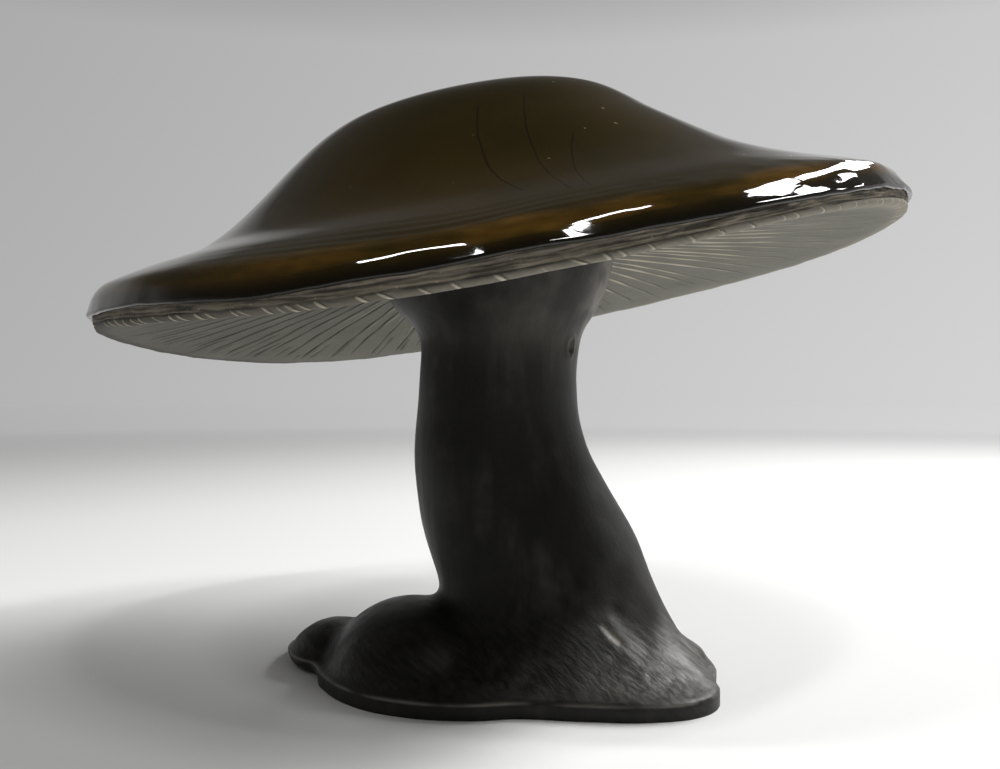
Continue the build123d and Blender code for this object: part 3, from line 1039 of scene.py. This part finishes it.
def new_group(name, inputs, outputs):
    """A node group that takes a vector and some values: the group, its inputs by name and its output node."""
    group = bpy.data.node_groups.new(name, "ShaderNodeTree")
    group.interface.new_socket("Vector", in_out="INPUT", socket_type="NodeSocketVector")
    for title, default in inputs.items():
        group.interface.new_socket(title, in_out="INPUT", socket_type="NodeSocketFloat").default_value = default
    for title in outputs:
        group.interface.new_socket(title, in_out="OUTPUT", socket_type="NodeSocketFloat")
    return group, add_node(group, "NodeGroupInput").outputs, add_node(group, "NodeGroupOutput")


def clay_grain_group():
    """Fine grain of fired clay: a tone for the colour and a height for the bump."""
    group, given, result = new_group("Clay grain", {"Scale": 900.0}, ["Tone", "Height"])
    fine = noise_at(group, given["Vector"], given["Scale"], 4.0, 0.65)
    broad = noise_at(group, given["Vector"], math(group, "MULTIPLY", given["Scale"], 0.06), 4.0, 0.6)
    tone = weighted(group, (fine, 0.4), (broad, 0.6))
    feed(group, result, Tone=tone, Height=weighted(group, (fine, 0.7), (broad, 0.3)))
    return group


def streak_group():
    """Long marks left by wet fingers and a soft brush, along the piece's Z."""
    group, given, result = new_group("Hand streaks", {"Scale": 120.0}, ["Mask", "Height"])
    long_marks = noise_at(group, given["Vector"], given["Scale"], 3.0, 0.6, (1, 1, 0.10))
    finer = math(group, "MULTIPLY", given["Scale"], 4.5)
    hairs = noise_at(group, given["Vector"], finer, 2.0, 0.5, (1, 1, 0.05))
    mask = ramp(group, long_marks, [(0.42, 0.0), (0.66, 1.0)])
    feed(group, result, Mask=mask, Height=weighted(group, (long_marks, 0.6), (hairs, 0.4)))
    return group


def speck_group():
    """Sparse small dots: crumbs on the clay, pinholes in the glaze."""
    group, given, result = new_group("Specks", {"Scale": 160.0, "Size": 0.06}, ["Mask"])
    cells = add_node(group, "ShaderNodeTexVoronoi")
    feed(group, cells, Vector=given["Vector"], Scale=given["Scale"], Randomness=1.0)
    patches = noise_at(group, given["Vector"], math(group, "MULTIPLY", given["Scale"], 0.12), 2.0)
    chosen = math(group, "GREATER_THAN", patches, 0.55)
    dots = math(group, "LESS_THAN", cells.outputs["Distance"], given["Size"])
    feed(group, result, Mask=math(group, "MULTIPLY", dots, chosen))
    return group


def craze_group():
    """One hairline: a thin arc of a circle seen from above, between a front and a back limit."""
    names = ("X", "Y", "Radius", "Front", "Back")
    group, given, result = new_group("Craze line", dict.fromkeys(names, 0.0), ["Mask"])
    place = separate(group, given["Vector"])
    across = math(group, "SUBTRACT", place["X"], given["X"])
    back = math(group, "SUBTRACT", place["Y"], given["Y"])
    squares = math(group, "ADD", math(group, "POWER", across, 2.0), math(group, "POWER", back, 2.0))
    gap = math(group, "SUBTRACT", math(group, "SQRT", squares), given["Radius"])
    wander = math(group, "SUBTRACT", noise_at(group, given["Vector"], 90.0, 2.0), 0.5)
    gap = math(group, "ABSOLUTE", math(group, "ADD", gap, math(group, "MULTIPLY", wander, 0.0012)))
    line = math(group, "SUBTRACT", 1.5, math(group, "DIVIDE", gap, 0.00022), clamp=True)
    behind = math(group, "GREATER_THAN", place["Y"], given["Front"])
    before = math(group, "LESS_THAN", place["Y"], given["Back"])
    left = math(group, "LESS_THAN", place["X"], given["X"])
    feed(group, result, Mask=math(group, "MULTIPLY", behind, before, line, left))
    return group


def left_shade_group():
    """A share that grows towards the left end of the cap, for painted shade on the side away from the lamps on the
    right.
    """
    group, given, result = new_group("Left end shade", {"Most": 0.5}, ["Mask"])
    across = math(group, "MULTIPLY", separate(group, given["Vector"])["X"], 3.5)
    share = ramp(group, math(group, "ADD", across, 0.5), [(0.0, 1.0), (0.65, 0.0)])
    feed(group, result, Mask=math(group, "MULTIPLY", share, given["Most"]))
    return group


def sky_group():
    """How bright the studio is in a direction: a pale wall behind, brighter on the right, a darker room in front."""
    group, given, result = new_group("Studio sky", {}, ["Level"])
    way = separate(group, given["Vector"])
    wall = ramp(group, way["Z"], [(0.0, 0.60), (0.32, 0.54), (0.48, 0.12), (1.0, 0.035)])
    room = ramp(group, way["Z"], [(0.0, 0.34), (0.15, 0.20), (0.40, 0.09), (1.0, 0.05)])
    backwards = math(group, "ADD", math(group, "MULTIPLY", way["Y"], 0.5), 0.5)
    backwards = ramp(group, backwards, [(0.30, 0.0), (0.75, 1.0)])
    rightwards = math(group, "ADD", math(group, "MULTIPLY", way["X"], 0.5), 0.5)
    rightwards = ramp(group, rightwards, [(0.10, 0.62), (0.85, 1.18)])
    feed(group, result, Level=math(group, "MULTIPLY", mix(group, "FLOAT", backwards, room, wall), rightwards))
    return group


GROUPS = {
    "Clay grain": clay_grain_group,
    "Hand streaks": streak_group,
    "Specks": speck_group,
    "Craze line": craze_group,
    "Left end shade": left_shade_group,
    "Studio sky": sky_group,
}


def use_group(tree, name, vector, **values):
    """Places a node group, which is made the first time, and gives its outputs."""
    node = add_node(tree, "ShaderNodeGroup", node_tree=bpy.data.node_groups.get(name) or GROUPS[name]())
    return feed(tree, node, Vector=vector, **values).outputs


def new_material(name):
    """A new material: itself, its tree, its Principled shader and the Object coordinates."""
    material = bpy.data.materials.new(name)
    material.use_nodes = True
    tree = material.node_tree
    place = add_node(tree, "ShaderNodeTexCoord").outputs["Object"]
    return material, tree, tree.nodes["Principled BSDF"], place


def mask_of(tree, name):
    """The mask of a name that the mesh carries."""
    return add_node(tree, "ShaderNodeAttribute", attribute_name=name).outputs["Fac"]


def bump(tree, height, distance, strength):
    """A Bump node's normal, for a height of at most a distance in metres."""
    node = add_node(tree, "ShaderNodeBump")
    return feed(tree, node, Height=height, Distance=distance, Strength=strength).outputs["Normal"]


def shaded(colour, factor):
    """A colour made darker or lighter by a factor."""
    return tuple(min(1, channel * factor) for channel in colour)


def spots(tree, place, centres):
    """A dot at each of a few known places."""
    mask = 0.0
    for x, y, z, size in centres:
        gap = add_node(tree, "ShaderNodeVectorMath", operation="DISTANCE")
        plug(tree, place, gap.inputs[0])
        plug(tree, (x, y, z), gap.inputs[1])
        mask = math(tree, "MAXIMUM", mask, math(tree, "LESS_THAN", gap.outputs["Value"], size))
    return mask


def crazing(tree, place):
    """The few long hairlines in the glaze of the dome."""
    mask = 0.0
    for x, y, radius, front, back in CRAZE_LINES:
        line = use_group(tree, "Craze line", place, X=x, Y=y, Radius=radius, Front=front, Back=back)
        mask = math(tree, "MAXIMUM", mask, line["Mask"])
    return mask


def glaze_material(colours):
    """Glossy glaze: near black where it lies thick, amber where it runs thin, with pits and hairlines."""
    material, tree, shader, place = new_material("amber_glaze")
    mottle = ramp(tree, noise_at(tree, place, 14.0, 4.0, 0.55), [(0.38, 0.0), (0.68, 0.17)])
    thin = math(tree, "MAXIMUM", mask_of(tree, "thin"), mottle)
    base = blend_colours(tree, thin, tuple(colours.glaze_deep), tuple(colours.glaze_amber))
    base = blend_colours(tree, math(tree, "MULTIPLY", mask_of(tree, "pooled"), 0.85), base, POOLED_GLAZE)
    specks = use_group(tree, "Specks", place, Scale=210.0, Size=0.05)["Mask"]
    pits = math(tree, "MAXIMUM", specks, spots(tree, place, GLAZE_PITS))
    base = blend_colours(tree, math(tree, "MULTIPLY", pits, 0.35), base, GLAZE_PINHOLE)
    crazed = crazing(tree, place)
    base = blend_colours(tree, math(tree, "MULTIPLY", crazed, 0.70), base, GLAZE_HAIRLINE)
    ripple = noise_at(tree, place, 60.0, 2.0)
    height = weighted(tree, (ripple, 0.4), (pits, -0.6), (crazed, -0.35))
    feed(tree, shader, Base_Color=base, Roughness=0.035, IOR=1.5, Normal=bump(tree, height, 0.0002, 0.5))
    return material


def bare_clay_material(colours):
    """Torn clay of the cap's shell: painted shade where its torn layers lie back, pale on its lip and crumbs, and
    painted shade towards the left end.
    """
    material, tree, shader, place = new_material("torn_bare_clay")
    grain = use_group(tree, "Clay grain", place, Scale=1100.0)
    dark = shaded(colours.bare_clay, 0.30)
    # the torn mask gives painted shade where the torn layers lie back
    tone = weighted(tree, (grain["Tone"], 0.40), (mask_of(tree, "torn"), 0.60))
    tone = ramp(tree, tone, [(0.28, 0.0), (0.75, 1.0)])
    base = blend_colours(tree, tone, dark, shaded(colours.bare_clay, 1.3))
    specks = use_group(tree, "Specks", place, Scale=420.0, Size=0.14)["Mask"]
    pale = math(tree, "MAXIMUM", math(tree, "MULTIPLY", specks, 0.5), mask_of(tree, "lip"))
    base = blend_colours(tree, pale, base, PALE_CRUMB)
    # painted shade towards the left end of the cap
    base = blend_colours(tree, use_group(tree, "Left end shade", place, Most=0.25)["Mask"], base, dark)
    feed(tree, shader, Base_Color=base, Roughness=0.85, Normal=bump(tree, grain["Height"], 0.0006, 0.7))
    return material


def gill_material(colours):
    """Cut clay of the underside: painted shade in its lines, nicks and seam, painted highlights on their burrs, and
    the wear of its edge pale, with painted light towards the right and painted shade towards the left.
    """
    material, tree, shader, place = new_material("cut_gill_clay")
    grain = use_group(tree, "Clay grain", place, Scale=800.0)
    tone = ramp(tree, grain["Tone"], [(0.3, 0.0), (0.7, 1.0)])
    base = blend_colours(tree, tone, shaded(colours.gill_clay, 0.72), shaded(colours.gill_clay, 1.12))
    edge = mask_of(tree, "edge")
    left_shade = use_group(tree, "Left end shade", place, Most=1.0)["Mask"]
    # the edge's wear, with painted light that makes it paler towards the right
    right_light_share = math(tree, "SUBTRACT", 1.3, math(tree, "MULTIPLY", left_shade, 1.2))
    worn_and_lit = math(tree, "MULTIPLY", math(tree, "MULTIPLY", edge, grain["Tone"]), right_light_share, clamp=True)
    base = blend_colours(tree, worn_and_lit, base, WORN_AND_LIT_EDGE)
    # painted shade along the plate's edge towards the left end
    base = blend_colours(tree, math(tree, "MULTIPLY", edge, left_shade, 0.75), base, LEFT_EDGE_SHADE)
    # painted shade in the cut lines, the nicks and the seam
    base = blend_colours(tree, ramp(tree, mask_of(tree, "cut"), [(0.12, 0.0), (0.62, 0.93)]), base, PAINTED_GROOVE_SHADE)
    # painted highlights on the burrs of the lines and nicks
    base = blend_colours(tree, ramp(tree, mask_of(tree, "burr"), [(0.12, 0.0), (0.55, 0.95)]), base, PAINTED_BURR_HIGHLIGHT)
    feed(tree, shader, Base_Color=base, Roughness=0.8, Normal=bump(tree, grain["Height"], 0.0004, 0.5))
    return material


def dark_clay_material(colours):
    """Near-black burnished clay: rubbed in patches and along the slab's edge, with painted highlights in brush
    strokes on the toe and on the collar's right.
    """
    material, tree, shader, place = new_material("dark_burnished_clay")
    rubbed_and_lit_clay = tuple(colours.rubbed_and_lit_clay)
    above = separate(tree, place)
    dull = mask_of(tree, "dull")
    grain = use_group(tree, "Clay grain", place, Scale=900.0)
    streaks = use_group(tree, "Hand streaks", place, Scale=130.0)
    tone = ramp(tree, grain["Tone"], [(0.3, 0.0), (0.7, 1.0)])
    base = blend_colours(tree, tone, shaded(colours.dark_clay, 0.55), shaded(colours.dark_clay, 1.6))

    # rubbed patches and the worn line along the slab's edge
    patches = ramp(tree, noise_at(tree, place, 32.0, 4.0, 0.6), [(0.45, 0.0), (0.75, 1.0)])
    patches = math(tree, "MULTIPLY", patches, streaks["Mask"], 0.25)
    slab_edge = ramp(tree, math(tree, "MULTIPLY", above["Z"], 100.0), [(0.39, 0.0), (0.45, 1.0), (0.52, 0.0)])
    slab_edge = math(tree, "MULTIPLY", slab_edge, mask_of(tree, "rub"))
    base = blend_colours(tree, math(tree, "MAXIMUM", patches, slab_edge, clamp=True), base, rubbed_and_lit_clay)
    base = blend_colours(tree, mask_of(tree, "chip"), base, COLLAR_CHIP)

    # brush strokes, low on the right, painted pale as a highlight and kept off the dull place
    strokes = noise_at(tree, place, 800.0, 3.0, 0.6, stretch=(0.10, 0.3, 1.0), turn=(0, radians(38), 0))
    low = ramp(tree, above["Z"], [(0.0045, 0.1), (0.0062, 1.0), (0.014, 0.85), (0.028, 0.0)])
    rightwards = ramp(tree, above["X"], [(0.028, 0.14), (0.052, 1.0)])
    brushed = ramp(tree, strokes, [(0.40, 0.0), (0.68, 1.0)])
    brushed = math(tree, "MULTIPLY", brushed, low, rightwards, math(tree, "SUBTRACT", 1.0, dull))
    base = blend_colours(tree, brushed, base, rubbed_and_lit_clay)

    # pale places: the scratched dent, and the painted highlight on the collar
    scratch_and_highlight = math(tree, "MULTIPLY", mask_of(tree, "bare"), math(tree, "ADD", streaks["Height"], 0.25))
    base = blend_colours(tree, scratch_and_highlight, base, PALE_SCRATCH_AND_HIGHLIGHT)

    rough = math(tree, "ADD", weighted(tree, (streaks["Mask"], 0.12), (dull, 0.42)), 0.44)
    height = math(tree, "ADD", grain["Height"], streaks["Height"], math(tree, "MULTIPLY", strokes, low, 3.0))
    feed(tree, shader, Base_Color=base, Roughness=rough, Specular_IOR_Level=0.24)
    feed(tree, shader, Normal=bump(tree, height, 0.0003, 0.35))
    return material


def floor_material(colours):
    """Pale floor, which fades into the backdrop's tone far from the object."""
    material, tree, shader, place = new_material("pale_floor")
    feed(tree, shader, Base_Color=(*colours.floor, 1), Roughness=0.9)
    far = add_node(tree, "ShaderNodeVectorMath", operation="LENGTH")
    plug(tree, place, far.inputs[0])
    fade = ramp(tree, math(tree, "DIVIDE", far.outputs["Value"], FLOOR_FADE), [(0.12, 0.0), (0.50, 1.0)])
    direction = add_node(tree, "ShaderNodeVectorMath", operation="NORMALIZE")
    plug(tree, place, direction.inputs[0])
    glow = add_node(tree, "ShaderNodeEmission")
    feed(tree, glow, Color=use_group(tree, "Studio sky", direction.outputs["Vector"])["Level"])
    rays = add_node(tree, "ShaderNodeLightPath").outputs
    seen = [rays[f"Is {kind} Ray"] for kind in ("Camera", "Glossy", "Transmission")]
    blend = add_node(tree, "ShaderNodeMixShader")
    plug(tree, math(tree, "MULTIPLY", fade, math(tree, "MAXIMUM", *seen)), blend.inputs["Fac"])
    plug(tree, shader.outputs["BSDF"], blend.inputs[1])
    plug(tree, glow.outputs["Emission"], blend.inputs[2])
    plug(tree, blend.outputs["Shader"], tree.nodes["Material Output"].inputs["Surface"])
    return material


def give_material(thing, material):
    thing.data.materials.clear()
    thing.data.materials.append(material)


def shared_material(name, maker):
    """The material of a name, which is made the first time."""
    return bpy.data.materials.get(name) or maker(bpy.context.scene.mushroom_colours)


# Stage


def add_area_light(name, place, along, size, power):
    """A soft lamp turned to the mushroom, with its long side along a direction."""
    light = bpy.data.lights.new(name, "AREA")
    light.shape = "RECTANGLE"
    light.size, light.size_y = size
    light.energy = power
    back = (Vector(place) - Vector(LAMP_TARGET)).normalized()
    side = (Vector(along) - back * Vector(along).dot(back)).normalized()
    axes = Matrix((side, back.cross(side), back)).transposed().to_4x4()
    lamp = bpy.data.objects.new(name, light)
    lamp.matrix_world = Matrix.Translation(place) @ axes
    bpy.context.collection.objects.link(lamp)


def add_floor(colours):
    """The pale floor, which is not part of the mushroom."""
    deselect_all()
    bpy.ops.mesh.primitive_plane_add(size=FLOOR_SIZE, location=(0, 0, 0))
    floor = bpy.context.active_object
    floor.name = "floor"
    give_material(floor, floor_material(colours))


def add_backdrop(scene):
    """The studio round the mushroom, as the world's light."""
    world = bpy.data.worlds.new("soft_studio")
    world.use_nodes = True
    scene.world = world
    tree = world.node_tree
    direction = add_node(tree, "ShaderNodeTexCoord").outputs["Generated"]
    sky = use_group(tree, "Studio sky", direction)
    feed(tree, tree.nodes["Background"], Color=sky["Level"], Strength=1.0)


def add_camera(scene):
    """A level camera that looks along Y, at the photograph's angle."""
    camera = bpy.data.cameras.new("camera")
    camera.lens = 36
    camera.sensor_width = 36
    camera.clip_start = 0.01
    viewer = bpy.data.objects.new("camera", camera)
    viewer.location = CAMERA_PLACE
    viewer.rotation_euler = (radians(90), 0, 0)
    bpy.context.collection.objects.link(viewer)
    scene.camera = viewer


# Operators


class MUSHROOM_OT_glaze(bpy.types.Operator):
    """Models the glazed dome with its bead and uneven lower edge"""

    bl_idname = "mushroom.glaze"
    bl_label = "Glazed dome"
    bl_options = {"REGISTER", "UNDO"}

    def execute(self, context):
        dome = model_glaze(context.scene.mushroom_cap)
        give_material(dome, shared_material("amber_glaze", glaze_material))
        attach(dome, "root")
        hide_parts("glaze_coat")
        return {"FINISHED"}


class MUSHROOM_OT_bare_rim(bpy.types.Operator):
    """Models the torn bare clay of the cap's shell, below the glaze"""

    bl_idname = "mushroom.bare_rim"
    bl_label = "Bare rim"
    bl_options = {"REGISTER", "UNDO"}

    def execute(self, context):
        rim = model_bare_rim(context.scene.mushroom_cap)
        give_material(rim, shared_material("torn_bare_clay", bare_clay_material))
        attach(rim, "root")
        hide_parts("cap_shell")
        return {"FINISHED"}


class MUSHROOM_OT_gill_plate(bpy.types.Operator):
    """Models the coned plate and cuts its gill lines"""

    bl_idname = "mushroom.gill_plate"
    bl_label = "Gill plate"
    bl_options = {"REGISTER", "UNDO"}

    def execute(self, context):
        plate = model_gill_plate(context.scene.mushroom_cap, context.scene.mushroom_gills)
        give_material(plate, shared_material("cut_gill_clay", gill_material))
        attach(plate, "root")
        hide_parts("gill_plate")
        return {"FINISHED"}


class MUSHROOM_OT_clay_body(bpy.types.Operator):
    """Models stem, mound, lobes and foot slab as one skin of clay"""

    bl_idname = "mushroom.clay_body"
    bl_label = "Stem and foot"
    bl_options = {"REGISTER", "UNDO"}

    def execute(self, context):
        scene = context.scene
        body = model_clay_body(scene.mushroom_cap, scene.mushroom_stem, scene.mushroom_foot)
        give_material(body, shared_material("dark_burnished_clay", dark_clay_material))
        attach(body, "root")
        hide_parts("stem", "left_root_mound", "left_root_lobe", "right_root_lobe", "base_slab")
        return {"FINISHED"}


class MUSHROOM_OT_stage(bpy.types.Operator):
    """Sets up the floor, backdrop, lamps and camera"""

    bl_idname = "mushroom.stage"
    bl_label = "Stage"
    bl_options = {"REGISTER", "UNDO"}

    def execute(self, context):
        scene = context.scene
        add_floor(scene.mushroom_colours)
        add_backdrop(scene)
        for lamp in LAMPS:
            add_area_light(*lamp)
        add_camera(scene)
        scene.view_settings.view_transform = "Standard"
        return {"FINISHED"}


class MUSHROOM_PT_panel(bpy.types.Panel):
    """Lists the pieces of the mushroom and their sizes"""

    bl_idname = "MUSHROOM_PT_panel"
    bl_label = "Ceramic Mushroom"
    bl_space_type = "VIEW_3D"
    bl_region_type = "UI"
    bl_category = "Mushroom"

    def draw(self, context):
        for operator in OPERATORS:
            self.layout.operator(operator.bl_idname)
        for title in SETTINGS:
            box = self.layout.box()
            group = getattr(context.scene, title)
            for field in group.__annotations__:
                box.prop(group, field)


SETTINGS = {
    "mushroom_cap": MushroomCap,
    "mushroom_gills": MushroomGills,
    "mushroom_stem": MushroomStem,
    "mushroom_foot": MushroomFoot,
    "mushroom_colours": MushroomColours,
}
OPERATORS = (
    MUSHROOM_OT_glaze,
    MUSHROOM_OT_bare_rim,
    MUSHROOM_OT_gill_plate,
    MUSHROOM_OT_clay_body,
    MUSHROOM_OT_stage,
)


def register():
    for title, group in SETTINGS.items():
        bpy.utils.register_class(group)
        setattr(bpy.types.Scene, title, bpy.props.PointerProperty(type=group))
    for operator in OPERATORS:
        bpy.utils.register_class(operator)
    bpy.utils.register_class(MUSHROOM_PT_panel)


def unregister():
    bpy.utils.unregister_class(MUSHROOM_PT_panel)
    for operator in reversed(OPERATORS):
        bpy.utils.unregister_class(operator)
    for title, group in SETTINGS.items():
        delattr(bpy.types.Scene, title)
        bpy.utils.unregister_class(group)


def main():
    register()
    bpy.ops.mushroom.glaze()
    bpy.ops.mushroom.bare_rim()
    bpy.ops.mushroom.gill_plate()
    bpy.ops.mushroom.clay_body()
    bpy.ops.mushroom.stage()


if __name__ == "__main__":
    main()
